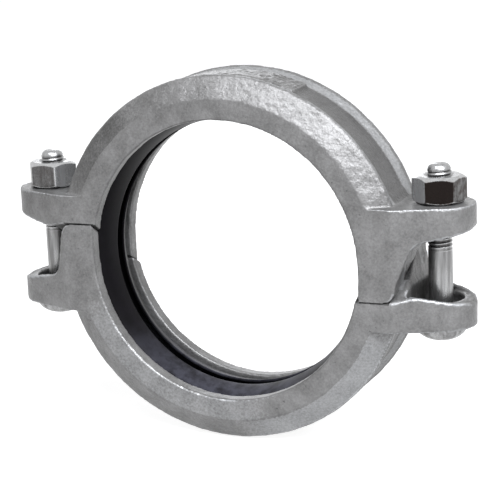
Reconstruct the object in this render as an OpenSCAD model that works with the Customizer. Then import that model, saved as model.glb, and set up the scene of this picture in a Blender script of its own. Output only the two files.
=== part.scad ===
// Rigid grooved pipe coupling: two equal castings with slanted pads, a gasket, two track bolts and their nuts.
// The pipe runs along Y through the origin, the bolts stand along Z and the ears point along X.

/* [Bore and section] */
// Radius of the keys that close into the groove of the pipe
key_r = 82.3; // [70:0.1:110]
// Width of the coupling along the pipe
housing_w = 58; // [50:0.5:70]
// Width of each key along the pipe
key_w = 8.5; // [6:0.5:10]
// Height of a key above the floor of the gasket channel
key_h = 13.2; // [10:0.1:16]
// Flat width of the front face, from the bore out to the shoulder
face_h = 12.2; // [9:0.1:15]
// Bevel on the outer edge of each key
key_bevel = 0.8; // [0.5:0.1:3]
// Wall between the gasket channel and the valley in the back of the casting
wall_t = 8.5; // [6:0.1:10]
// Height of the two side ribs above the valley
rib_h = 3.5; // [1:0.1:5]
// Width of the sloping shoulder, along the pipe
shoulder_w = 7.5; // [5:0.5:9]
// Width of the flat top of a side rib
rib_w = 2.5; // [1.5:0.5:4]
// Width of the slope from a rib down to the valley
rib_slope_w = 6.5; // [4:0.5:8]
// Height of the raised pad in the valley
pad_h = 2.2; // [1:0.1:3]
// Half of the angle that the raised pad covers
pad_half_angle = 23; // [8:1:28]
// Gap between the raised pad and the foot of each rib
pad_margin = 1; // [0.5:0.1:2]

/* [Pads and legs] */
// Slope of the split between the castings, across the width
split_angle = 32; // [20:1:38]
// Gap between the two castings at the slanted pads
split_gap = 0.2; // [0.1:0.05:0.5]
// Thickness of a leg at its tip, from the bore out
leg_t = 20; // [19:0.5:23]
// Lean of the outer side of a leg
leg_taper = 11; // [4:1:14]
// Radius of the hollow between a leg and its ear
leg_fillet = 8; // [6:0.5:12]
// Radius of the outer corner at the tip of a leg
leg_tip_r = 7.5; // [3:0.5:9]

/* [Ears] */
// Height of the seat of a nut or bolt head above the pipe axis
seat_z = 35; // [33:0.5:40]
// Radius of the round end of an ear
ear_r = 20.5; // [19:0.5:23]
// Distance from the side rib out to the bolt
bolt_gap = 14.5; // [14:0.1:20]
// Height of the end face of an ear
ear_end_h = 14.5; // [12:0.5:16]
// Slope of the inner side of an ear
ear_slope = 11; // [6:1:16]
// Radius of the lower corner at the end of an ear
ear_corner_r = 5; // [3:0.5:6]
// Rim round the pocket of an ear
rim_t = 3; // [2:0.1:4]
// Thickness of the ear between the pocket and the seat
web_t = 8.5; // [8:0.5:10.5]

/* [Bolts and nuts] */
// Radius of the threaded part of a bolt
thread_r = 7.9; // [6:0.05:8.2]
// Radius of the plain shank
shank_r = 7.2; // [5:0.1:7.4]
// Length of the threaded part
thread_l = 44; // [38:1:50]
// Length that a bolt stands out of its nut
bolt_proud = 6.5; // [4:0.5:10]
// Chamfer at the end of a bolt
bolt_chamfer = 1.8; // [0.5:0.1:2.5]
// Radius of the domed head of a bolt
head_r = 14.5; // [13:0.5:16]
// Height of the domed head
head_h = 9.5; // [7:0.5:11]
// Length of the oval neck under the head
neck_l = 7.5; // [4:0.5:8]
// Extra length of the oval neck and its hole, across the bolt
oval_l = 4; // [2:0.5:5]
// Clearance of the bolt hole all round the thread
hole_clear = 0.9; // [0.5:0.1:1.5]
// Clearance of the oval neck in its hole
neck_clear = 0.3; // [0.2:0.05:0.5]
// Distance across the flats of a nut
nut_af = 27; // [24:0.1:30]
// Height of a nut
nut_h = 15.5; // [12:0.1:18]
// Slope of the chamfer round both faces of a nut
nut_chamfer_angle = 30; // [20:1:35]
// How far the round face of a nut stays inside its flats
nut_face_set = 0.4; // [0.2:0.1:1]
// Radial clearance between a nut and its bolt
nut_clear = 0.05; // [0.02:0.01:0.1]
// Angle at which the left nut came to rest
left_nut_angle = 3; // [0:1:59]
// Angle at which the right nut came to rest
right_nut_angle = 17; // [0:1:59]

/* [Gasket] */
// Clearance between the gasket and the channel
gasket_clear = 0.3; // [0.2:0.05:0.5]
// How far the lips stay outside the key radius
lip_set = 0.3; // [0.2:0.1:2]
// Thickness of the back of the gasket
gasket_back_t = 5; // [4:0.1:6.5]
// Thickness of the side walls of the gasket
gasket_side_t = 4.5; // [3.5:0.1:6]
// Gap between the free edges of the two sealing lips
lip_gap = 8; // [4:0.2:12]
// Width of the slope from the side of the gasket in to its lip
lip_slope_w = 7.5; // [4:0.5:9]
// Height of that slope
lip_slope_h = 3; // [2:0.1:4]
// Lean of a lip in to the pipe, from its slope to its free edge
lip_lean = 0.8; // [0.2:0.1:1.2]
// Thickness of a sealing lip where it leaves the side wall
lip_root_t = 3; // [2.5:0.1:3.5]
// Thickness of a sealing lip at its free edge
lip_edge_t = 1.8; // [1:0.1:2.2]

/* [Hidden] */
$fn = 96;
arc_steps = 8;
// What a cut runs past the surface that it opens
over = 1;

half_w = housing_w / 2;
channel_r = key_r + key_h;
channel_half_w = half_w - key_w;
face_r = key_r + face_h;
valley_r = channel_r + wall_t;
rib_r = valley_r + rib_h;
rib_y = half_w - shoulder_w;
valley_half_w = rib_y - rib_w - rib_slope_w;
split_rise = tan(split_angle);
tip_z = split_rise * half_w;
leg_x = key_r + leg_t;
bolt_x = rib_r + bolt_gap;
ear_x = bolt_x + ear_r;
// Corner where the outer side of a leg would meet the underside of its ear, if the hollow were sharp
ear_end_z = seat_z - ear_end_h;
leg_lean = tan(leg_taper);
ear_rise = tan(ear_slope);
root_z = (ear_end_z - (ear_x - leg_x - tip_z * leg_lean) * ear_rise) / (1 - leg_lean * ear_rise);
root_x = leg_x + (root_z + tip_z) * leg_lean;
web_z = seat_z - web_t;
hole_r = thread_r + hole_clear;
bolt_l = 2 * seat_z + nut_h + bolt_proud;
gasket_half_w = channel_half_w - gasket_clear;
gasket_r = channel_r - gasket_clear;
lip_r = key_r + lip_set;

// Points along an arc about a centre, from one angle to another
function arc(centre, r, from, to) =
    [for (i = [0:arc_steps]) let (a = from + (to - from) * i / arc_steps) centre + r * [cos(a), sin(a)]];

// Turns a profile drawn as radius and width about the pipe axis
module about_pipe(angle = 360) {
    rotate([90, 0, 0]) rotate_extrude(angle = angle) children();
}

// One side of the section's outline, from the valley out to the bore edge
function outer_side(side) = [
    [valley_r, side * valley_half_w],
    [rib_r - 0.8, side * (rib_y - rib_w - 0.8)],
    [rib_r, side * (rib_y - rib_w + 0.8)],
    [rib_r, side * (rib_y - 1)],
    [rib_r - 0.9, side * (rib_y + 0.5)],
    [face_r, side * half_w],
];

// Solid disc with the outside form of the ring
module ring_blank() {
    upper = outer_side(1);
    lower = outer_side(-1);
    about_pipe() polygon(concat(
        [[0, -half_w]],
        [for (i = [len(lower) - 1:-1:0]) lower[i]],
        upper,
        [[0, half_w]]
    ));
}

// Raised pad in the middle of the valley, at the crown of the ring
module crown_pad() {
    pad_r = valley_r + pad_h;
    pad_half_w = valley_half_w - pad_margin;
    rotate([0, pad_half_angle - 90, 0]) about_pipe(2 * pad_half_angle)
        translate([channel_r + over, -pad_half_w]) square([pad_r - channel_r - over, 2 * pad_half_w]);
}

// Outline of a leg and its ear, seen along the pipe, on the right-hand side
module ear_side_outline() {
    reach = leg_fillet / tan(45 + (leg_taper + ear_slope) / 2);
    hollow = [root_x, root_z] - reach * [sin(leg_taper), cos(leg_taper)]
        + leg_fillet * [cos(leg_taper), -sin(leg_taper)];
    corner_reach = ear_corner_r * tan((90 - ear_slope) / 2);
    tip_reach = leg_tip_r * tan((90 - leg_taper) / 2);
    polygon(concat(
        [[0, seat_z], [ear_x, seat_z]],
        arc([ear_x - ear_corner_r, ear_end_z + corner_reach], ear_corner_r, 0, ear_slope - 90),
        arc(hollow, leg_fillet, 90 + ear_slope, 180 - leg_taper),
        arc([leg_x - tip_reach, leg_tip_r - tip_z], leg_tip_r, -leg_taper, -90),
        [[0, -tip_z]]
    ));
}

// Outline of an ear from above: full width at the leg, then in to a round end about the bolt
module ear_plan(inset = 0, from_x = 0) {
    r = ear_r - inset;
    half = half_w - inset;
    across = bolt_x - leg_x;
    touch = atan2(half, -across) - acos(r / norm([across, half]));
    tangent = [bolt_x + r * cos(touch), r * sin(touch)];
    difference() {
        union() {
            translate([bolt_x, 0]) circle(r);
            polygon([[0, -half], [leg_x, -half], [tangent[0], -tangent[1]], tangent, [leg_x, half], [0, half]]);
        }
        translate([-over, -half_w - over]) square([from_x + over, housing_w + 2 * over]);
    }
}

// Leg and ear of the right-hand side, still solid
module ear_blank() {
    intersection() {
        translate([0, half_w, 0]) rotate([90, 0, 0]) linear_extrude(housing_w) ear_side_outline();
        translate([0, 0, -tip_z]) linear_extrude(seat_z + tip_z) ear_plan();
    }
}

// Oval bar along Z, for the bolt hole and for the neck of the bolt
module oval_bar(r, h) {
    for (side = [-1, 1]) translate([side * oval_l / 2, 0, 0]) cylinder(r = r, h = h);
    translate([-oval_l / 2, -r, 0]) cube([oval_l, 2 * r, h]);
}

// Pocket in the inner side of the right-hand ear, and the oval hole through its web
module ear_cut() {
    translate([0, 0, -tip_z - over]) linear_extrude(web_z + tip_z + over) ear_plan(rim_t, root_x);
    translate([bolt_x, 0, web_z - over]) oval_bar(hole_r, web_t + 2 * over);
}

// What the split takes off the right-hand side: all that lies under the slanted plane
module split_cut() {
    depth = 4 * half_w;
    translate([0, 0, split_gap / 2])
        rotate([split_angle, 0, 0])
            translate([0, -depth / 2, -depth]) cube([2 * ear_x, depth, depth]);
}

// Bore and gasket channel: round above the pipe axis, straight down below it, so that the casting lifts off
module bore_cut() {
    about_pipe() polygon([
        [0, -half_w - over],
        [key_r + key_bevel + over, -half_w - over],
        [key_r, -half_w + key_bevel],
        [key_r, -channel_half_w],
        [channel_r, -channel_half_w],
        [channel_r, channel_half_w],
        [key_r, channel_half_w],
        [key_r, half_w - key_bevel],
        [key_r + key_bevel + over, half_w + over],
        [0, half_w + over],
    ]);
    drop = tip_z + over;
    translate([-key_r, -half_w - over, -drop]) cube([2 * key_r, housing_w + 2 * over, drop]);
    translate([-channel_r, -channel_half_w, -drop]) cube([2 * channel_r, 2 * channel_half_w, drop]);
}

// One casting: half of the ring, two ears with their legs, and the slanted pads
module casting() {
    difference() {
        union() {
            difference() {
                ring_blank();
                translate([-2 * ear_x, -housing_w, -2 * ear_x]) cube([4 * ear_x, 2 * housing_w, 2 * ear_x]);
            }
            crown_pad();
            ear_blank();
            rotate([0, 0, 180]) ear_blank();
        }
        bore_cut();
        for (turn = [0, 180]) rotate([0, 0, turn]) {
            ear_cut();
            split_cut();
        }
    }
}

module upper_housing() {
    color("silver") casting();
}

module lower_housing() {
    color("silver") rotate([0, 180, 0]) casting();
}

// One side of the gasket's section, from its back down the side and along the lip to the chamber
function gasket_side() =
    let (
        edge_r = lip_edge_t / 2,
        edge_y = lip_gap / 2 + edge_r,
        side_y = gasket_half_w - gasket_side_t
    ) concat(
        [
            [gasket_r, gasket_half_w],
            [lip_r + lip_lean + lip_slope_h, gasket_half_w],
            [lip_r + lip_lean, gasket_half_w - lip_slope_w],
        ],
        arc([lip_r + edge_r, edge_y], edge_r, 180, 360),
        [
            [lip_r + lip_lean + lip_root_t, side_y],
            [gasket_r - gasket_back_t, side_y],
        ]
    );

// Rubber ring: a back, two side walls, and a lip from each wall that leans in to the pipe
module gasket() {
    side = gasket_side();
    color("dimgray") about_pipe() polygon(concat(
        side,
        [for (i = [len(side) - 1:-1:0]) [side[i][0], -side[i][1]]]
    ));
}

// Track bolt with its head under the lower ear and its thread in the nut above
module track_bolt() {
    end_z = bolt_l - seat_z;
    ball_r = (head_r * head_r + head_h * head_h) / (2 * head_h);
    dome_from = acos(head_r / ball_r);
    color("lightgray") {
        rotate_extrude() polygon([
            [0, -seat_z],
            [shank_r, -seat_z],
            [shank_r, end_z - thread_l - thread_r + shank_r],
            [thread_r, end_z - thread_l],
            [thread_r, end_z - bolt_chamfer],
            [thread_r - bolt_chamfer, end_z],
            [0, end_z],
        ]);
        translate([0, 0, -seat_z]) oval_bar(hole_r - neck_clear, neck_l);
        translate([0, 0, -seat_z - head_h + ball_r]) rotate_extrude() polygon(concat(
            [[0, -ball_r]],
            [for (a = [90 - arc_steps:-arc_steps:dome_from + arc_steps / 2]) ball_r * [cos(a), -sin(a)]],
            [[head_r, head_h - ball_r], [0, head_h - ball_r]]
        ));
    }
}

module left_bolt() {
    translate([-bolt_x, 0, 0]) track_bolt();
}

module right_bolt() {
    translate([bolt_x, 0, 0]) track_bolt();
}

// Heavy hex nut with both faces chamfered, seated on the upper ear
module hex_nut(turn) {
    corner_r = nut_af / 2 / cos(30);
    flat_r = nut_af / 2 - nut_face_set;
    spread = corner_r + over - flat_r;
    drop = spread * tan(nut_chamfer_angle);
    bore_r = thread_r + nut_clear;
    color("gainsboro") translate([0, 0, seat_z]) difference() {
        intersection() {
            rotate([0, 0, turn]) cylinder(r = corner_r, h = nut_h, $fn = 6);
            rotate_extrude() polygon([
                [0, 0],
                [flat_r, 0],
                [flat_r + spread, drop],
                [flat_r + spread, nut_h - drop],
                [flat_r, nut_h],
                [0, nut_h],
            ]);
        }
        translate([0, 0, -over]) cylinder(r = bore_r, h = nut_h + 2 * over);
    }
}

module left_nut() {
    translate([-bolt_x, 0, 0]) hex_nut(left_nut_angle);
}

module right_nut() {
    translate([bolt_x, 0, 0]) hex_nut(right_nut_angle);
}

lower_housing();
upper_housing();
gasket();
left_bolt();
right_bolt();
left_nut();
right_nut();
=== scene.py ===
"""Dresses the rigid grooved coupling: cast housings, rubber gasket, threaded track bolts and hex nuts."""

import logging
from dataclasses import dataclass
from enum import Enum
from math import atan, atan2, copysign, cos, hypot, pi, radians, sin, sqrt, tan, tau
from typing import Iterable, Optional, Union

import bmesh
import bpy
from mathutils import Matrix, Vector, noise

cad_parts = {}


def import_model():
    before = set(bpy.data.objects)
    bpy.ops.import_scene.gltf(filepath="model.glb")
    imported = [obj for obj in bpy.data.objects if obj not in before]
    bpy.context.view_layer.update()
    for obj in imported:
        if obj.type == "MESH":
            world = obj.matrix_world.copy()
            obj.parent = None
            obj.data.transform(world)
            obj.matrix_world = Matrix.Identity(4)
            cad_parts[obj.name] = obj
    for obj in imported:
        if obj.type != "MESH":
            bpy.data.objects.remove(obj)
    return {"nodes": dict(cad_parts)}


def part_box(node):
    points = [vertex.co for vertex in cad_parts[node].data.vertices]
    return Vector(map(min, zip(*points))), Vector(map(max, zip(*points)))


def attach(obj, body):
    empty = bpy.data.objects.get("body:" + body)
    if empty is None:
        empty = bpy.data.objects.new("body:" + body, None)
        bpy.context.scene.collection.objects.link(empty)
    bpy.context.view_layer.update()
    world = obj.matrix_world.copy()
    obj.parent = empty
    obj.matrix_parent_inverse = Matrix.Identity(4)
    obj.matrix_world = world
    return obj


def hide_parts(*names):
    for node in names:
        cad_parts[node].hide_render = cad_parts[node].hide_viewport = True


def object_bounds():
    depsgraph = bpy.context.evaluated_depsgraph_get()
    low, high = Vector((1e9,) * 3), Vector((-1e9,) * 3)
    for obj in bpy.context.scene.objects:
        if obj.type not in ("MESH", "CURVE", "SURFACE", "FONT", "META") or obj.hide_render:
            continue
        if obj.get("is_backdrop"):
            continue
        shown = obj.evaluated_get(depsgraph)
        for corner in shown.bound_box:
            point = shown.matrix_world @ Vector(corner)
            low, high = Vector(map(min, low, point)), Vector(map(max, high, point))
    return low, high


log = logging.getLogger("coupling")

MM = 0.001
# The attribute that carries rubbing and dirt, and also painted highlights, painted shade and painted
# reflections.
WEAR_AND_LIGHT = "wear_and_light"
SAME_PLACE = 0.001 * MM
BOLT_X = 122 * MM
Value = Union["Signal", float]


class Slot(Enum):
    """The record's material slots."""

    HOUSING = "housing"
    GASKET = "gasket"
    BOLT = "bolt"
    NUT = "nut"


class Signal:
    """A shader socket that takes part in Python arithmetic."""

    def __init__(self, shop: "NodeShop", socket: bpy.types.NodeSocket) -> None:
        """Wraps one output socket of the shop's tree."""
        self.shop = shop
        self.socket = socket

    def _maths(self, operation: str, first: Value, second: Value) -> "Signal":
        """Adds one Math node.

        Args:
            operation: The Math node's operation.
            first: Its first operand.
            second: Its second operand.

        Returns:
            The node's result.
        """
        return self.shop.add("ShaderNodeMath", {"operation": operation}, {0: first, 1: second})

    def __add__(self, other: Value) -> "Signal":
        """Returns self + other."""
        return self._maths("ADD", self, other)

    __radd__ = __add__

    def __sub__(self, other: Value) -> "Signal":
        """Returns self - other."""
        return self._maths("SUBTRACT", self, other)

    def __rsub__(self, other: Value) -> "Signal":
        """Returns other - self."""
        return self._maths("SUBTRACT", other, self)

    def __mul__(self, other: Value) -> "Signal":
        """Returns self * other."""
        return self._maths("MULTIPLY", self, other)

    __rmul__ = __mul__


class NodeShop:
    """Makes the nodes of one material or world."""

    def __init__(self, tree: bpy.types.NodeTree) -> None:
        """Starts with an empty tree."""
        self.tree = tree
        tree.nodes.clear()

    def add(
        self,
        kind: str,
        settings: Optional[dict] = None,
        inputs: Optional[dict] = None,
        output: Union[int, str] = 0,
    ) -> Signal:
        """Adds a node.

        Args:
            kind: The node's type.
            settings: Its own settings, set first.
            inputs: Its sockets' values or links, by name or number.
            output: The output that is returned, by name or number.

        Returns:
            That output.
        """
        node = self.tree.nodes.new(kind)
        for name, value in (settings or {}).items():
            setattr(node, name, value)
        for name, value in (inputs or {}).items():
            if isinstance(value, Signal):
                self.tree.links.new(value.socket, node.inputs[name])
            else:
                node.inputs[name].default_value = value
        return Signal(self, node.outputs[output] if node.outputs else None)

    def place(self) -> Signal:
        """Returns the Object coordinates."""
        return self.add("ShaderNodeTexCoord", output="Object")

    def speckle(self, size: float, detail: float = 4.0, roughness: float = 0.6) -> Signal:
        """Adds a noise pattern.

        Args:
            size: The size of its features, in metres.
            detail: How many finer layers it has.
            roughness: How strong the finer layers are.

        Returns:
            The noise, from 0 to 1.
        """
        inputs = {"Vector": self.place(), "Scale": 1 / size, "Detail": detail, "Roughness": roughness}
        return self.add("ShaderNodeTexNoise", {"noise_dimensions": "3D"}, inputs)

    def streaks(self, size: float, length: float) -> Signal:
        """Adds a noise pattern that is drawn out along Z.

        Args:
            size: The width of its features, in metres.
            length: Their length along Z.

        Returns:
            The noise, from 0 to 1.
        """
        scale = (1 / size, 1 / size, 1 / length)
        drawn = self.add("ShaderNodeMapping", inputs={"Vector": self.place(), "Scale": scale})
        inputs = {"Vector": drawn, "Scale": 1.0, "Detail": 3.0}
        return self.add("ShaderNodeTexNoise", {"noise_dimensions": "3D"}, inputs)

    def wear_and_light(self) -> Signal:
        """Returns the piece's own wear_and_light attribute: up to 1 where it is rubbed or carries a painted
        highlight, down to -1 where it is dirty or carries painted shade, else 0.
        """
        return self.add("ShaderNodeAttribute", {"attribute_name": WEAR_AND_LIGHT}, output="Fac")

    def ramp(self, factor: Signal, low: float, high: float) -> Signal:
        """Stretches a signal so that low becomes 0 and high becomes 1, with the rest clamped."""
        inputs = {"Value": factor, "From Min": low, "From Max": high}
        return self.add("ShaderNodeMapRange", {"clamp": True}, inputs)

    def blend(self, factor: Value, first: Union[Signal, tuple], second: Union[Signal, tuple]) -> Signal:
        """Mixes two colours.

        Args:
            factor: The share of the second colour.
            first: The first colour.
            second: The second colour.

        Returns:
            The mixed colour.
        """
        return self.add("ShaderNodeMix", {"data_type": "RGBA"}, {0: factor, 6: first, 7: second}, 2)

    def bump(self, height: Signal, distance: float) -> Signal:
        """Turns a height pattern into a normal, with the height of 1 given in metres."""
        return self.add("ShaderNodeBump", inputs={"Height": height, "Distance": distance, "Strength": 1.0})

    def seen(self) -> Signal:
        """Tells what the camera sees from light that falls.

        Returns:
            1 for what the camera sees, also in metal or through glass, else 0.
        """
        path = "ShaderNodeLightPath"
        straight = self.add(path, output="Is Camera Ray") + self.add(path, output="Is Transmission Ray")
        return straight + self.add(path, output="Is Glossy Ray")

    def finish(self, shader: dict) -> None:
        """Adds the principled shader and the material's output."""
        surface = self.add("ShaderNodeBsdfPrincipled", inputs=shader)
        self.add("ShaderNodeOutputMaterial", inputs={"Surface": surface})


def grey(level: float, warm: float = 0.0) -> tuple:
    """Returns a grey colour, made warmer or, below 0, bluer."""
    return (level * (1 + warm), level, level * (1 - warm), 1.0)


def new_material(name: str) -> tuple[bpy.types.Material, NodeShop]:
    """Starts a material.

    Args:
        name: Its name.

    Returns:
        The material, and the shop that makes its nodes.
    """
    material = bpy.data.materials.new(name)
    material.use_nodes = True
    return material, NodeShop(material.node_tree)


@dataclass(frozen=True)
class GalvanisedIron:
    """Hot-dip galvanised cast iron: rough as cast, with a dull silver skin, rubbed edges with painted
    highlights, and painted shade in seams, corners and hollows.
    """

    name: str = "galvanised_iron"
    dark: tuple = grey(0.122, 0.015)
    light: tuple = grey(0.220, 0.01)
    bright: tuple = grey(0.50, -0.02)
    dirt_and_shade: tuple = grey(0.03, 0.02)

    # The relief: the sizes of its grain and of its hammered waves, and how high it stands.
    grain: float = 1.3 * MM
    hammer: float = 3.2 * MM
    hammer_share: float = 0.6
    relief: float = 0.6 * MM

    # The duller and lighter patches, and the dirt in small pits.
    patch: float = 14 * MM
    shade_range: tuple = (0.38, 0.62)
    pit: float = 2.2 * MM
    pit_range: tuple = (0.66, 0.74)
    pit_dirt: float = 0.6

    # The span over which rubbing and painted highlights turn it bright, and painted shade turns it dark,
    # broken up by the grain.
    wear_light_noise: float = 0.45
    bright_range: tuple = (0.3, 1.0)
    dirt_shade_range: tuple = (0.3, 0.7)

    roughness: float = 0.28
    roughness_spread: float = 0.16
    roughness_range: tuple = (0.2, 0.8)
    metallic: float = 0.5

    def make(self) -> bpy.types.Material:
        """Makes the finish.

        Returns:
            The material.
        """
        material, shop = new_material(self.name)
        grain = shop.speckle(self.grain, detail=5.0, roughness=0.7)
        hammer = shop.speckle(self.hammer, detail=2.0, roughness=0.5)
        patch = shop.speckle(self.patch, detail=3.0)
        shade = shop.ramp(grain * 0.5 + patch * 0.5, *self.shade_range)
        pits = shop.ramp(shop.speckle(self.pit, detail=3.0), *self.pit_range)
        skin = shop.blend(pits * self.pit_dirt, shop.blend(shade, self.dark, self.light), self.dirt_and_shade)
        wear_and_light = shop.wear_and_light() + (grain - 0.5) * self.wear_light_noise
        # Rubbed edges and painted highlights turn it bright.
        worn_and_lit = shop.blend(shop.ramp(wear_and_light, *self.bright_range), skin, self.bright)
        rough = shop.ramp(grain, *self.roughness_range)
        shop.finish({
            # Painted shade turns it dark in the seams, corners, groove and pockets; the dark pits are real.
            "Base Color": shop.blend(shop.ramp(wear_and_light * -1.0, *self.dirt_shade_range), worn_and_lit, self.dirt_and_shade),
            "Metallic": self.metallic,
            "Roughness": rough * self.roughness_spread + self.roughness,
            "Normal": shop.bump(hammer * self.hammer_share + grain * (1 - self.hammer_share), self.relief),
        })
        return material


@dataclass(frozen=True)
class MouldedRubber:
    """Black moulded rubber with a low sheen, and a painted sheen towards the bottom of the bore."""

    name: str = "moulded_rubber"
    colour: tuple = grey(0.004, 0.0)
    haze: tuple = (0.0065, 0.0055, 0.0075, 1.0)
    haze_size: float = 5 * MM

    # The painted sheen towards the bottom of the ring, which sets in between two depths below the pipe
    # axis.
    painted_sheen: tuple = (0.046, 0.046, 0.058, 1.0)
    sheen_depth: tuple = (45 * MM, 78 * MM)
    sheen_size: float = 9 * MM
    sheen_range: tuple = (0.3, 0.6)

    grain: float = 0.8 * MM
    relief: float = 0.03 * MM
    roughness: float = 0.29
    roughness_spread: float = 0.1
    gloss: float = 0.11

    def make(self) -> bpy.types.Material:
        """Makes the finish.

        Returns:
            The material.
        """
        material, shop = new_material(self.name)
        haze = shop.speckle(self.haze_size, detail=3.0)
        height = shop.add("ShaderNodeSeparateXYZ", inputs={"Vector": shop.place()}, output="Z")
        cloud = shop.ramp(shop.speckle(self.sheen_size, detail=5.0), *self.sheen_range)
        # Painted sheen: lighter towards the bottom of the ring.
        sheen_mask = shop.ramp(height * -1.0, *self.sheen_depth) * cloud
        shop.finish({
            "Base Color": shop.blend(sheen_mask, shop.blend(haze, self.colour, self.haze), self.painted_sheen),
            "Roughness": haze * self.roughness_spread + self.roughness,
            "Specular IOR Level": self.gloss,
            "Normal": shop.bump(shop.speckle(self.grain), self.relief),
        })
        return material


@dataclass(frozen=True)
class ZincPlate:
    """Zinc plate on steel, dull and stained, rubbed brighter on the nuts' faces, with painted highlights
    and painted shade on the threads, the bolt's end and the nuts' sides.
    """

    name: str
    bright: tuple = grey(0.62, -0.01)
    light: tuple = grey(0.34, 0.0)
    dull: tuple = grey(0.16, 0.01)
    dirt_and_shade: tuple = (0.011, 0.008, 0.007, 1.0)

    # The stains: their share, and the size of the spots.
    stain: tuple = (0.060, 0.040, 0.030, 1.0)
    stained: float = 0.0
    spot: float = 4 * MM
    spot_range: tuple = (0.45, 0.60)

    # The streaks along the bolt: their width and length.
    streak: float = 2.4 * MM
    drawn: float = 30 * MM
    streak_range: tuple = (0.35, 0.65)

    # The fine grain, and the span over which rubbing and painted highlights turn it bright, and the dull
    # head and painted shade turn it dark.
    grain: float = 0.9 * MM
    relief: float = 0.04 * MM
    wear_light_noise: float = 0.3
    wear_light_range: tuple = (0.3, 0.8)

    roughness: float = 0.32
    roughness_drop: float = 0.08
    metallic: float = 0.9

    def make(self) -> bpy.types.Material:
        """Makes the finish.

        Returns:
            The material.
        """
        material, shop = new_material(self.name)
        cloud = shop.ramp(shop.streaks(self.streak, self.drawn), *self.streak_range)
        fine = shop.speckle(self.grain)
        wear_and_light = shop.wear_and_light() + (fine - 0.5) * self.wear_light_noise
        spots = shop.ramp(shop.speckle(self.spot), *self.spot_range) * self.stained
        base = shop.blend(spots, shop.blend(cloud, self.dull, self.light), self.stain)
        # Rubbed nut faces and painted highlights turn it bright.
        worn_and_lit = shop.blend(shop.ramp(wear_and_light, *self.wear_light_range), base, self.bright)
        shop.finish({
            # The dull head, and painted shade in the thread roots and on some nut sides, turn it dark.
            "Base Color": shop.blend(shop.ramp(wear_and_light * -1.0, *self.wear_light_range), worn_and_lit, self.dirt_and_shade),
            "Metallic": self.metallic,
            "Roughness": cloud * -self.roughness_drop + self.roughness,
            "Normal": shop.bump(fine, self.relief),
        })
        return material


def dress(
    piece: bpy.types.Object, material: bpy.types.Material, slot: Slot, body: str, *nodes: str,
) -> None:
    """Gives a piece its finish and its place in the frame.

    Args:
        piece: The piece.
        material: Its material.
        slot: The record's slot that the finish belongs to; not used.
        body: The body that the piece moves with.
        nodes: The frame's nodes that it stands for.
    """
    piece.data.materials.clear()
    piece.data.materials.append(material)
    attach(piece, body)
    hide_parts(*nodes)
    piece.data.calc_loop_triangles()
    log.info("%s: %d triangles", piece.name, len(piece.data.loop_triangles))


def as_piece(name: str, work: bmesh.types.BMesh, smooth_angle: float = radians(40)) -> bpy.types.Object:
    """Turns a bmesh into a piece with smooth faces and sharp edges past an angle.

    Args:
        name: The piece's name.
        work: The mesh, which is freed.
        smooth_angle: The angle past which an edge is sharp.

    Returns:
        The piece.
    """
    bmesh.ops.remove_doubles(work, verts=work.verts, dist=SAME_PLACE)
    bmesh.ops.recalc_face_normals(work, faces=work.faces)
    mesh = bpy.data.meshes.new(name)
    work.to_mesh(mesh)
    work.free()
    mesh.shade_smooth()
    mesh.set_sharp_from_angle(angle=smooth_angle)
    piece = bpy.data.objects.new(name, mesh)
    bpy.context.scene.collection.objects.link(piece)
    return piece


@dataclass(frozen=True)
class TonePatch:
    """A stretch of the ring that is made lighter or, with a strength below 0, darker.

    Its middle, its reach to either side and the fade at each end are angles round the pipe axis.
    """

    middle: float
    reach: float
    strength: float
    fade: float = radians(26)

    def level(self, place: Vector) -> float:
        """Returns how much lighter or darker the patch makes a place, from its angle round the pipe axis.
        """
        away = abs((atan2(place.z, place.x) - self.middle + pi) % tau - pi)
        return self.strength * min(max((self.reach - away) / self.fade, 0.0), 1.0)


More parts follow.
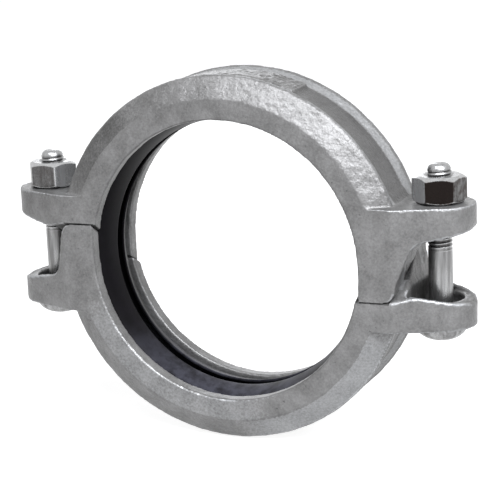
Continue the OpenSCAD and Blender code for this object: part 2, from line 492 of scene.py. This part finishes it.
@dataclass(frozen=True)
class CastingWearAndLight:
    """Where a housing is rubbed, where it carries painted highlights and painted shade, and where its tone
    is lighter.
    """

    # The seam between the slanted pads, which gets painted shade.
    pad_angle: float = radians(32)
    seam_w: float = 0.5 * MM
    seam_reach: float = 101 * MM
    seam_shade: float = 2.0

    # The groove round the ring, its flanks and the raised pad at the crown: painted shade in the groove and
    # on the pad, and a painted highlight on the flanks.
    groove_low_r: float = 98 * MM
    groove_r: float = 106.8 * MM
    groove_half_w: float = 12.6 * MM
    groove_pocket_shade: float = 0.52
    flank_end_y: float = 19.4 * MM
    flank_highlight: float = 0.5
    crown_pad_r: float = 105.4 * MM
    crown_pad_x: float = 42 * MM
    crown_pad_shade: float = 0.46

    # The pocket in each ear, which gets the groove's painted shade.
    pocket_r: float = 19 * MM
    pocket_z: float = 26 * MM

    # Edges: the bend that counts as 1, the least that shows, and the shares on legs, bore and elsewhere.
    # Outer edges are rubbed and carry a painted highlight, and inner corners get painted shade.
    edge_bend: float = 0.16
    edge_noise: float = 0.28
    edge_shares: tuple = (0.15, 0.5, 1.0)
    corner_shade: float = 0.5
    leg_edge: tuple = (97 * MM, 113 * MM, 12 * MM)
    bore_edge_r: float = 88 * MM

    # The flat faces, with a lighter patch, and the shoulders, with painted shade on the upper left and
    # painted light on the lower right.
    flat_edge: tuple = (94.8 * MM, 95.4 * MM)
    flat_y: float = 28.4 * MM
    flat_tone: tuple = (TonePatch(radians(-118), radians(62), 0.41),)
    shoulder_y: float = 21.5 * MM
    shoulder_z: float = 36 * MM
    shoulder_light_and_shade: tuple = (
        TonePatch(radians(140), radians(36), -0.5),
        TonePatch(radians(-52), radians(50), 0.5),
    )

    def mark(self, work: bmesh.types.BMesh, spacing: float) -> None:
        """Stores each point's wear_and_light: above 0 on outer edges, which are rubbed and carry a painted
        highlight, below 0 for painted shade in corners and at the pads' seam.

        Args:
            work: The casting's mesh.
            spacing: The distance between its points.
        """
        layer = work.verts.layers.float.new(WEAR_AND_LIGHT)
        bends = []
        for vertex in work.verts:
            around = [edge.other_vert(vertex).co for edge in vertex.link_edges]
            middle = sum(around, Vector()) / len(around)
            bends.append((vertex.co - middle).dot(vertex.normal) / spacing)
        for vertex, bend in zip(work.verts, bends):
            near = [bends[edge.other_vert(vertex).index] for edge in vertex.link_edges]
            level = (bend + sum(near)) / (1 + len(near)) / self.edge_bend
            # Outer edges are rubbed and carry a painted highlight; inner corners get painted shade.
            level *= self._edge_share(vertex.co) if level > 0 else self.corner_shade
            level = 0.0 if abs(level) < self.edge_noise else level
            vertex[layer] = min(max(level + self._place_wear_and_light(vertex.co), -1.0), 1.0)

    def on_crown_pad(self, place: Vector) -> bool:
        """Returns whether a place is on top of the raised pad in the groove."""
        inside = abs(place.x) < self.crown_pad_x and abs(place.y) < self.groove_half_w
        return inside and hypot(place.x, place.z) > self.crown_pad_r

    def _edge_share(self, place: Vector) -> float:
        """Returns how strongly an edge is rubbed and how strong its painted highlight is.

        Args:
            place: The place.

        Returns:
            A small share on the legs' outer edges and on the bore's edge, else 1.
        """
        on_leg, on_bore, elsewhere = self.edge_shares
        near, far, height = self.leg_edge
        if near < abs(place.x) < far and abs(place.z) < height:
            return on_leg
        return on_bore if hypot(place.x, place.z) < self.bore_edge_r else elsewhere

    def _place_wear_and_light(self, place: Vector) -> float:
        """Returns the painted light and shade, and the tone, that a place on the casting adds.

        Args:
            place: The place.

        Returns:
            Below 0 for painted shade at the pads' seam, in the pockets, in the groove round the ring and on
            its raised pad, above 0 for a painted highlight on the groove's flanks, below 0 for painted
            shade and above 0 for painted light on the shoulders' patches, and above 0 for the lighter patch
            of the front and rear faces.
        """
        # Painted shade along the seam between the pads.
        from_seam = abs(place.z - copysign(tan(self.pad_angle), place.x) * place.y) * cos(self.pad_angle)
        if from_seam < self.seam_w and abs(place.x) < self.seam_reach:
            return -self.seam_shade
        # Painted shade in the ear's pocket.
        if hypot(abs(place.x) - BOLT_X, place.y) < self.pocket_r and abs(place.z) < self.pocket_z:
            return -self.groove_pocket_shade
        radius = hypot(place.x, place.z)
        flat_r, shoulder_r = self.flat_edge
        # A lighter patch on the lower left of the front and rear faces.
        if radius < flat_r and abs(place.y) > self.flat_y:
            return sum(patch.level(place) for patch in self.flat_tone)
        # Painted shade on the upper-left shoulders and painted light on the lower-right ones.
        if radius > shoulder_r and abs(place.y) > self.shoulder_y and abs(place.z) > self.shoulder_z:
            return sum(patch.level(place) for patch in self.shoulder_light_and_shade)
        if not self.groove_low_r < radius < self.groove_r:
            return 0.0
        # Painted shade in the groove and on the raised pad.
        if abs(place.y) < self.groove_half_w:
            return -self.crown_pad_shade if self.on_crown_pad(place) else -self.groove_pocket_shade
        # Painted highlight on the groove's flanks.
        return self.flank_highlight if abs(place.y) < self.flank_end_y else 0.0


@dataclass(frozen=True)
class Casting:
    """A cast housing, with the frame's form and the soft edges and uneven skin of a sand casting.

    Its up is 1 for the upper housing and -1 for the lower one.
    """

    node: str
    body: str
    up: int
    wear_and_light: CastingWearAndLight = CastingWearAndLight()

    # The remeshed skin, with the size and height of its waves and pits, and the pits' growth on the pad.
    voxel: float = 1.0 * MM
    smoothing: int = 2
    wave_size: float = 9 * MM
    wave_height: float = 0.22 * MM
    pit_size: float = 2.4 * MM
    pit_height: float = 0.16 * MM
    crown_pad_rough: float = 3.5

    # The thick rim round the far end of each ear's pocket.
    rim_z: tuple = (19.6 * MM, 28 * MM)
    rim_out_r: float = 18.3 * MM
    rim_in_x: float = 119.4 * MM
    rim_in_r: float = 15.6 * MM
    rim_turn: tuple = (radians(-84), radians(84.1))
    rim_steps: int = 24

    # The web on a leg, as x and z in millimetres, and the leaning wall that it stands against.
    gusset: tuple = (
        (102.6, -7.0), (104.4, -7.0), (105.8, -4.1), (108.0, 1.6), (109.6, 6.0),
        (112.3, 11.6), (116.0, 15.2), (119.0, 17.0), (119.0, 20.0), (102.6, 20.0),
    )
    gusset_t: float = 4 * MM
    leg_x: float = 102.3 * MM
    half_w: float = 29 * MM
    wall_lean: float = tan(radians(20))
    wall_inset: float = 0.1 * MM

    # The fillet between an ear's seat and the ring, as x and z in millimetres.
    root_fillet: tuple = ((94.0, 34.0), (102.0, 34.4), (99.2, 36.2), (97.4, 39.6), (94.0, 40.0))
    fillet_half_w: float = 21 * MM

    def build(self) -> bpy.types.Object:
        """Builds the casting.

        Returns:
            Its piece.
        """
        source = bpy.data.objects[self.node]
        work = bmesh.new()
        work.from_mesh(source.data)
        for side in (1, -1):
            if self.up > 0:
                self._add_gusset(work, side)
            self._add_thick_rim(work, side)
            self._add_root_fillet(work, side)
        piece = as_piece(f"{self.node}_skin", work)
        self._soften(piece)
        self._roughen(piece)
        return piece

    def _add_gusset(self, work: bmesh.types.BMesh, side: int) -> None:
        """Adds the web that runs from a leg up to its ear, at the leg's outer face.

        Args:
            work: The casting's mesh.
            side: 1 for the right ear, -1 for the left one.
        """
        outline = []
        for x, z in self.gusset:
            depth = self.half_w - self.wall_inset - (x * MM - self.leg_x) * self.wall_lean
            outline.append((x * side * self.up * MM, -depth * side, z * self.up * MM))
        add_prism(work, outline, (0, self.gusset_t * side, 0))

    def _add_thick_rim(self, work: bmesh.types.BMesh, side: int) -> None:
        """Thickens the rim round the far end of an ear's pocket.

        Args:
            work: The casting's mesh.
            side: 1 for the right ear, -1 for the left one.
        """
        low, high = self.rim_z
        turns = row(*self.rim_turn, self.rim_steps)
        outer = [(BOLT_X + self.rim_out_r * cos(turn), self.rim_out_r * sin(turn)) for turn in turns]
        inner = [(self.rim_in_x + self.rim_in_r * cos(turn), self.rim_in_r * sin(turn)) for turn in turns]
        outline = [(x * side, y, low * self.up) for x, y in outer + inner[::-1]]
        add_prism(work, outline, (0, 0, (high - low) * self.up))

    def _add_root_fillet(self, work: bmesh.types.BMesh, side: int) -> None:
        """Adds the fillet between an ear's seat and the ring."""
        outline = [(x * side * MM, -self.fillet_half_w, z * self.up * MM) for x, z in self.root_fillet]
        add_prism(work, outline, (0, 2 * self.fillet_half_w, 0))

    def _soften(self, piece: bpy.types.Object) -> None:
        """Remeshes a piece finely and rounds its edges.

        Args:
            piece: The piece.
        """
        remesh = piece.modifiers.new("remesh", "REMESH")
        remesh.mode = "VOXEL"
        remesh.voxel_size = self.voxel
        smooth = piece.modifiers.new("smooth", "SMOOTH")
        smooth.iterations = self.smoothing
        graph = bpy.context.evaluated_depsgraph_get()
        mesh = bpy.data.meshes.new_from_object(piece.evaluated_get(graph))
        piece.modifiers.clear()
        piece.data = mesh
        mesh.shade_smooth()

    def _roughen(self, piece: bpy.types.Object) -> None:
        """Marks the rubbed edges and the painted light and shade, then moves the skin in and out a little,
        in broad waves and small pits.

        Args:
            piece: The piece.
        """
        work = bmesh.new()
        work.from_mesh(piece.data)
        self.wear_and_light.mark(work, self.voxel)
        for vertex in work.verts:
            wave = noise.noise(vertex.co / self.wave_size) * self.wave_height
            pit = noise.noise(vertex.co / self.pit_size) * self.pit_height
            rough = self.crown_pad_rough if self.wear_and_light.on_crown_pad(vertex.co) else 1.0
            vertex.co += vertex.normal * (wave + pit * rough)
        work.to_mesh(piece.data)
        work.free()


def spun(profile: Iterable, axis: tuple, steps: int, closed: bool = False) -> bmesh.types.BMesh:
    """Spins a profile once round an axis through the origin.

    Args:
        profile: The profile's points.
        axis: The axis.
        steps: How many steps the spin has.
        closed: Whether the profile is a closed loop.

    Returns:
        The mesh.
    """
    work = bmesh.new()
    chain = [work.verts.new(point) for point in profile]
    for first, second in zip(chain, chain[1:] + (chain[:1] if closed else [])):
        if first is not second:
            work.edges.new((first, second))
    bmesh.ops.spin(
        work, geom=list(work.verts) + list(work.edges), cent=(0, 0, 0), axis=axis, angle=tau, steps=steps,
        use_merge=True,
    )
    bmesh.ops.remove_doubles(work, verts=work.verts, dist=SAME_PLACE)
    return work


def add_prism(work: bmesh.types.BMesh, outline: Iterable, push: tuple) -> None:
    """Adds a prism to a mesh.

    Args:
        work: The mesh.
        outline: The points of the prism's one end.
        push: The way from there to its other end.
    """
    face = work.faces.new([work.verts.new(point) for point in outline])
    grown = bmesh.ops.extrude_face_region(work, geom=[face], use_keep_orig=True)
    moved = [item for item in grown["geom"] if isinstance(item, bmesh.types.BMVert)]
    bmesh.ops.translate(work, vec=push, verts=moved)


def row(start: float, end: float, count: int) -> list:
    """Returns evenly spaced values from start to end, without the end itself."""
    return [start + (end - start) * i / count for i in range(count)]


@dataclass(frozen=True)
class Thread:
    """A right-hand unified thread, with its crest and flank as shares of half the pitch."""

    crest_r: float = 6.95 * MM
    root_r: float = 6.35 * MM
    pitch: float = 2.309 * MM
    crest: float = 0.14
    flank: float = 0.62

    def radius(self, angle: float, height: float) -> float:
        """Follows the thread's form.

        Args:
            angle: The angle round the bolt.
            height: The height along the bolt.

        Returns:
            The thread's radius there.
        """
        phase = (height / self.pitch - angle / tau) % 1.0
        from_crest = abs(phase - 0.5) * 2
        slope = min(max((from_crest - self.crest) / self.flank, 0.0), 1.0)
        return self.crest_r - (self.crest_r - self.root_r) * slope


@dataclass(frozen=True)
class TrackBolt:
    """A track bolt: domed head, oval neck, plain shank and rolled thread with a rounded end."""

    node: str
    body: str = "lower_half"
    thread: Thread = Thread()

    # The domed head, and its dirt.
    seat_z: float = -35 * MM
    head_r: float = 14.5 * MM
    head_h: float = 9.5 * MM
    rim_h: float = 1.1 * MM
    rim_inset: float = 0.5 * MM
    head_wear: float = -0.35

    # The oval neck, and the shank from above it up to the thread.
    neck_r: float = 8.5 * MM
    neck_half_l: float = 2 * MM
    neck_h: float = 7.5 * MM
    neck_slope_h: float = 0.8 * MM
    shank_r: float = 6.9 * MM
    shank_rise: float = 3 * MM

    # The threaded part: its run-in in turns, its rounded end, and the painted shade of its roots and
    # painted highlights of its crests and end.
    thread_z: float = 7.5 * MM
    run_in: float = 1.5
    end_z: float = 57 * MM
    end_flat_r: float = 3.0 * MM
    end_round_r: float = 6.65 * MM
    end_round_h: float = 4.0 * MM
    end_highlight_share: float = 0.8
    end_highlight: float = 0.45
    crest_highlight: float = 0.55
    root_shade: float = 0.65

    # How finely it is divided, and what counts as no distance.
    steps: int = 48
    dome_rows: int = 12
    shank_rows: int = 4
    rows_per_turn: int = 10
    near: float = 0.1 * MM
    smooth_angle: float = radians(38)

    def build(self) -> bpy.types.Object:
        """Builds the bolt.

        Returns:
            Its piece.
        """
        work = spun([(r, 0, z) for r, z in self._profile()], (0, 0, 1), self.steps)
        layer = work.verts.layers.float.new(WEAR_AND_LIGHT)
        for vertex in work.verts:
            radius = hypot(vertex.co.x, vertex.co.y)
            on_head = vertex.co.z < self.seat_z + self.near
            vertex[layer] = self.head_wear if on_head else 0.0
            if radius > self.near and vertex.co.z > self.seat_z + self.near:
                angle = atan2(vertex.co.y, vertex.co.x)
                wanted = min(self._outline(angle, vertex.co.z), radius + self.thread.crest_r - self.shank_r)
                vertex.co.x *= wanted / radius
                vertex.co.y *= wanted / radius
                vertex[layer] = self._thread_light(wanted, vertex.co.z)
        bmesh.ops.translate(work, vec=(box_centre(self.node).x, 0, 0), verts=work.verts)
        return as_piece(f"{self.node}_threaded", work, self.smooth_angle)

    def _profile(self) -> list:
        """Lays out the bolt's profile.

        Returns:
            Its (radius, height) points, from the foot of the head to the end.
        """
        rim_z = self.seat_z - self.rim_h
        dome_h = self.head_h - self.rim_h
        neck_z = self.seat_z + self.neck_h
        rows = round((self.end_z - self.thread_z) / self.thread.pitch * self.rows_per_turn)
        points = [
            (self.head_r * sin(turn), rim_z - dome_h * cos(turn)) for turn in row(0, pi / 2, self.dome_rows)
        ]
        points += [(self.head_r, rim_z), (self.head_r - self.rim_inset, self.seat_z)]
        points += [(self.neck_r, self.seat_z), (self.neck_r, neck_z - self.neck_slope_h)]
        points += [(self.shank_r, neck_z)]
        points += [(self.shank_r, z) for z in row(neck_z + self.shank_rise, self.thread_z, self.shank_rows)]
        points += [(self.shank_r, z) for z in row(self.thread_z, self.end_z, rows)]
        return points + [(self.end_flat_r, self.end_z), (0, self.end_z)]

    def _thread_light(self, radius: float, height: float) -> float:
        """Tells the thread's painted light: painted shade in the roots, painted highlights on the crests
        and the end.

        Args:
            radius: The radius of the place.
            height: Its height.

        Returns:
            The painted light and shade.
        """
        if height < self.thread_z:
            return 0.0
        # Painted highlight on the rounded end.
        if height > self.end_z - self.end_highlight_share * self.end_round_h:
            return self.end_highlight
        depth = (self.thread.crest_r - radius) / (self.thread.crest_r - self.thread.root_r)
        # Painted shade in the roots, painted highlights on the crests.
        return self.crest_highlight - (self.crest_highlight + self.root_shade) * min(depth, 1.0)

    def _outline(self, angle: float, height: float) -> float:
        """Follows the bolt's outline above the seat of its head.

        Args:
            angle: The angle round the bolt.
            height: The height along it.

        Returns:
            The radius there.
        """
        if height < self.seat_z + self.neck_h - self.near:
            across = abs(self.neck_half_l * sin(angle))
            return self.neck_half_l * abs(cos(angle)) + sqrt(self.neck_r ** 2 - across ** 2)
        if height < self.thread_z:
            return self.shank_r
        run_in = min((height - self.thread_z) / (self.run_in * self.thread.pitch), 1.0)
        radius = self.shank_r + (self.thread.radius(angle, height) - self.shank_r) * run_in
        to_end = max(self.end_z - height, 0.0) / self.end_round_h
        if to_end < 1:
            bow = sqrt(1 - (1 - to_end) ** 2)
            radius = min(radius, self.end_flat_r + (self.end_round_r - self.end_flat_r) * bow)
        return radius


@dataclass(frozen=True)
class HexNut:
    """A heavy hex nut with a chamfer round both faces and a countersunk bore.

    It stands turned by an angle, and its side reflections are the painted reflections of its six sides,
    each lighter or darker, counted from +X before it is turned.
    """

    node: str
    body: str
    turn: float
    side_reflections: tuple
    stained: float
    blank_r: float = 16.35 * MM
    corner_r: float = 15.35 * MM
    flat_r: float = 13.5 * MM
    face_r: float = 12.0 * MM
    bore_r: float = 7.15 * MM
    sink: float = 1.6 * MM
    edge_w: float = 0.5 * MM
    face_wear: float = 0.6
    seat_z: float = 35 * MM
    height: float = 15.5 * MM
    chamfer: float = tan(radians(30))
    steps: int = 120
    smooth_angle: float = radians(24)

    def build(self) -> bpy.types.Object:
        """Builds the nut as a round blank that is then drawn in to the hexagon.

        Returns:
            Its piece.
        """
        low, high = self.seat_z, self.seat_z + self.height
        profile = [
            (self.bore_r, low + self.sink), (self.bore_r + self.sink, low), (self.face_r, low),
            (self.blank_r, low), (self.blank_r, low + self.edge_w), (self.blank_r, high - self.edge_w),
            (self.blank_r, high), (self.face_r, high), (self.bore_r + self.sink, high),
            (self.bore_r, high - self.sink),
        ]
        work = spun([(r, 0, z) for r, z in profile], (0, 0, 1), self.steps, closed=True)
        layer = work.verts.layers.float.new(WEAR_AND_LIGHT)
        for vertex in work.verts:
            radius = hypot(vertex.co.x, vertex.co.y)
            inset = min(vertex.co.z - low, high - vertex.co.z)
            vertex[layer] = self.face_wear
            if radius > self.corner_r:
                angle = atan2(vertex.co.y, vertex.co.x)
                wanted = self._outline(angle)
                if inset > self.edge_w / 2:
                    # Painted reflection: each side gets its own lighter or darker value.
                    vertex[layer] = self.side_reflections[int(angle % tau / (pi / 3))]
                drop = (wanted - self.face_r) * self.chamfer
                vertex.co.x *= wanted / radius
                vertex.co.y *= wanted / radius
                vertex.co.z += drop if vertex.co.z < (low + high) / 2 else -drop
        bmesh.ops.rotate(work, cent=(0, 0, 0), matrix=Matrix.Rotation(self.turn, 3, "Z"), verts=work.verts)
        bmesh.ops.translate(work, vec=(box_centre(self.node).x, 0, 0), verts=work.verts)
        return as_piece(f"{self.node}_hex", work, self.smooth_angle)

    def _outline(self, angle: float) -> float:
        """Returns the hexagon's radius at an angle, with slightly rounded corners."""
        from_flat = (angle % (pi / 3)) - pi / 6
        return min(self.flat_r / cos(from_flat), self.corner_r)


@dataclass(frozen=True)
class Gasket:
    """The rubber ring between the castings, with two lips that lean in to the pipe."""

    node: str = "gasket"
    body: str = "lower_half"

    # The section, from its back round a lip's slope and edge into the chamber behind it.
    back_r: float = 95.2 * MM
    side_y: float = 20.2 * MM
    slope_foot_r: float = 86.4 * MM
    slope_top_r: float = 83.4 * MM
    slope_top_y: float = 12.6 * MM
    edge_r: float = 82.6 * MM
    edge_y: float = 4.1 * MM
    edge_t: float = 1.8 * MM
    chamber_y: float = 15.7 * MM
    root_r: float = 86.4 * MM
    chamber_r: float = 90.2 * MM

    # How far the lips bow in to the pipe, and how much more at the sides.
    bow: float = 2.6 * MM
    side_bow: float = 1.6 * MM
    bow_power: float = 1.5
    bow_end_r: float = 86.9 * MM

    rounding: float = 0.6 * MM
    sharp_angle: float = radians(25)
    smooth_angle: float = radians(50)
    steps: int = 180

    def build(self) -> bpy.types.Object:
        """Builds the gasket.

        Returns:
            Its piece.
        """
        half = [
            (self.back_r, self.side_y), (self.slope_foot_r, self.side_y),
            (self.slope_top_r, self.slope_top_y), (self.edge_r, self.edge_y),
            (self.edge_r + self.edge_t, self.edge_y), (self.root_r, self.chamber_y),
            (self.chamber_r, self.chamber_y),
        ]
        section = half + [(r, -y) for r, y in reversed(half)]
        work = spun([(r, y, 0) for r, y in section], (0, 1, 0), self.steps, closed=True)
        inner = [edge for edge in work.edges if len(edge.link_faces) == 2]
        corners = [edge for edge in inner if edge.calc_face_angle() > self.sharp_angle]
        bmesh.ops.bevel(
            work, geom=corners, offset=self.rounding, affect="EDGES", segments=3, profile=0.5, material=-1,
        )
        for vertex in work.verts:
            self._lean(vertex)
        return as_piece(f"{self.node}_ring", work, self.smooth_angle)

    def _lean(self, vertex: bmesh.types.BMVert) -> None:
        """Bows the lips in to the pipe, a little more at the sides than at the top and bottom.

        Args:
            vertex: The vertex, which moves if it is on a lip.
        """
        radius = hypot(vertex.co.x, vertex.co.z)
        if radius > self.bow_end_r:
            return
        along = min(max((self.side_y - abs(vertex.co.y)) / (self.side_y - self.edge_y), 0.0), 1.0)
        sideways = (vertex.co.x / radius) ** 2
        lean = (self.bow + self.side_bow * sideways) * along ** self.bow_power
        vertex.co.x *= (radius - lean) / radius
        vertex.co.z *= (radius - lean) / radius


def box_centre(node: str) -> Vector:
    """Returns the middle of a node's box."""
    low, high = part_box(node)
    return (Vector(low) + Vector(high)) / 2


@dataclass(frozen=True)
class PhotoCamera:
    """The camera at the photograph's viewing angle, aimed so that the bore's centre falls on its pixel."""

    azimuth: float = radians(23.556)
    elevation: float = radians(13.413)
    roll: float = radians(-2.505)
    distance: float = 1.01443
    focal_px: float = 1725.17
    centre_px: tuple = (240.487, 250.762)
    frame_px: float = 500.0

    def make(self) -> None:
        """Makes the camera and puts it in the scene."""
        away = Vector((
            sin(self.azimuth) * cos(self.elevation),
            -cos(self.azimuth) * cos(self.elevation),
            sin(self.elevation),
        ))
        middle = self.frame_px / 2
        across = atan((self.centre_px[0] - middle) / self.focal_px)
        down = atan((self.centre_px[1] - middle) / self.focal_px * cos(across))
        turn = away.to_track_quat("Z", "Y").to_matrix()
        turn = turn @ Matrix.Rotation(across, 3, "Y") @ Matrix.Rotation(down, 3, "X")
        turn = turn @ Matrix.Rotation(self.roll, 3, "Z")
        data = bpy.data.cameras.new("camera")
        data.lens = self.focal_px / self.frame_px * data.sensor_width
        camera = bpy.data.objects.new("camera", data)
        camera.matrix_world = Matrix.Translation(away * self.distance) @ turn.to_4x4()
        bpy.context.scene.collection.objects.link(camera)
        bpy.context.scene.camera = camera


@dataclass(frozen=True)
class SoftBox:
    """One square studio lamp, turned towards the object."""

    name: str
    place: tuple
    width: float
    power: float
    tint: tuple = (0.94, 0.96, 1.0)

    def make(self) -> None:
        """Makes the lamp."""
        data = bpy.data.lights.new(self.name, "AREA")
        data.size = self.width
        data.energy = self.power
        data.color = self.tint
        lamp = bpy.data.objects.new(self.name, data)
        lamp.location = self.place
        lamp.rotation_euler = Vector(self.place).to_track_quat("Z", "Y").to_euler()
        bpy.context.scene.collection.objects.link(lamp)


@dataclass(frozen=True)
class Studio:
    """The white room: a floor, the sky around it and the lamps."""

    floor_drop: float = 1 * MM
    floor_width: float = 6.0
    floor_glow: float = 0.9
    floor_shade: float = 0.4
    floor_roughness: float = 0.9
    sky_light: float = 0.1
    lamps: tuple = (
        SoftBox("key_lamp", (0.68, -0.68, 1.0), 1.0, 34.0),
        SoftBox("top_lamp", (-0.08, -0.72, 1.15), 0.5, 9.0),
        SoftBox("back_lamp", (-0.55, 1.25, 0.40), 0.5, 2.0),
    )

    def make(self, floor_z: float) -> None:
        """Makes the room.

        Args:
            floor_z: The height of the lowest point of the object.
        """
        self._make_floor(floor_z - self.floor_drop)
        self._make_sky()
        for lamp in self.lamps:
            lamp.make()
        bpy.context.scene.view_settings.view_transform = "Standard"

    def _make_floor(self, height: float) -> None:
        """Makes the floor, white where the camera sees it and grey to the light that falls on it.

        Args:
            height: Its height.
        """
        work = bmesh.new()
        bmesh.ops.create_grid(work, x_segments=1, y_segments=1, size=self.floor_width / 2)
        bmesh.ops.translate(work, vec=(0, 0, height), verts=work.verts)
        piece = as_piece("floor", work)
        material, shop = new_material("floor_paint")
        shop.finish({
            "Base Color": grey(self.floor_shade),
            "Roughness": self.floor_roughness,
            "Emission Color": shop.blend(shop.seen(), grey(0.0), grey(self.floor_glow)),
            "Emission Strength": 1.0,
        })
        piece.data.materials.append(material)
        piece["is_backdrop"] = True

    def _make_sky(self) -> None:
        """Makes the sky: white where the camera or a reflection sees it, and softer as a light."""
        world = bpy.data.worlds.new("sky")
        world.use_nodes = True
        bpy.context.scene.world = world
        shop = NodeShop(world.node_tree)
        strength = shop.seen() * (1 - self.sky_light) + self.sky_light
        light = shop.add("ShaderNodeBackground", inputs={"Color": grey(1.0), "Strength": strength})
        shop.add("ShaderNodeOutputWorld", inputs={"Surface": light})


def main(frame: dict) -> None:
    """Builds and dresses every piece.
    """
    logging.basicConfig(level=logging.INFO, format="%(name)s: %(message)s")
    frame_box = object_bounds()
    iron = GalvanisedIron().make()
    lower = Casting("lower_housing", "lower_half", up=-1)
    upper = Casting("upper_housing", "upper_half", up=1)
    for casting in (lower, upper):
        dress(casting.build(), iron, Slot.HOUSING, casting.body, casting.node)
    gasket = Gasket()
    dress(gasket.build(), MouldedRubber().make(), Slot.GASKET, gasket.body, gasket.node)
    zinc = ZincPlate("bolt_zinc").make()
    for bolt in (TrackBolt("left_bolt"), TrackBolt("right_bolt")):
        dress(bolt.build(), zinc, Slot.BOLT, bolt.body, bolt.node)
    # Painted reflections on each nut's six sides, one value per side.
    left_side_reflections = (0.0, -0.1, 0.0, -0.2, -0.62, 1.0)
    right_side_reflections = (0.0, -0.2, -0.1, 0.85, -1.0, -0.62)
    for nut in (
        HexNut("left_nut", "left_nut", turn=radians(3), side_reflections=left_side_reflections, stained=0.2),
        HexNut("right_nut", "right_nut", turn=radians(17), side_reflections=right_side_reflections, stained=0.9),
    ):
        plate = ZincPlate(f"{nut.node}_zinc", stained=nut.stained)
        dress(nut.build(), plate.make(), Slot.NUT, nut.body, nut.node)
    PhotoCamera().make()
    Studio().make(frame_box[0][2])


if __name__ == "__main__":
    main(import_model())
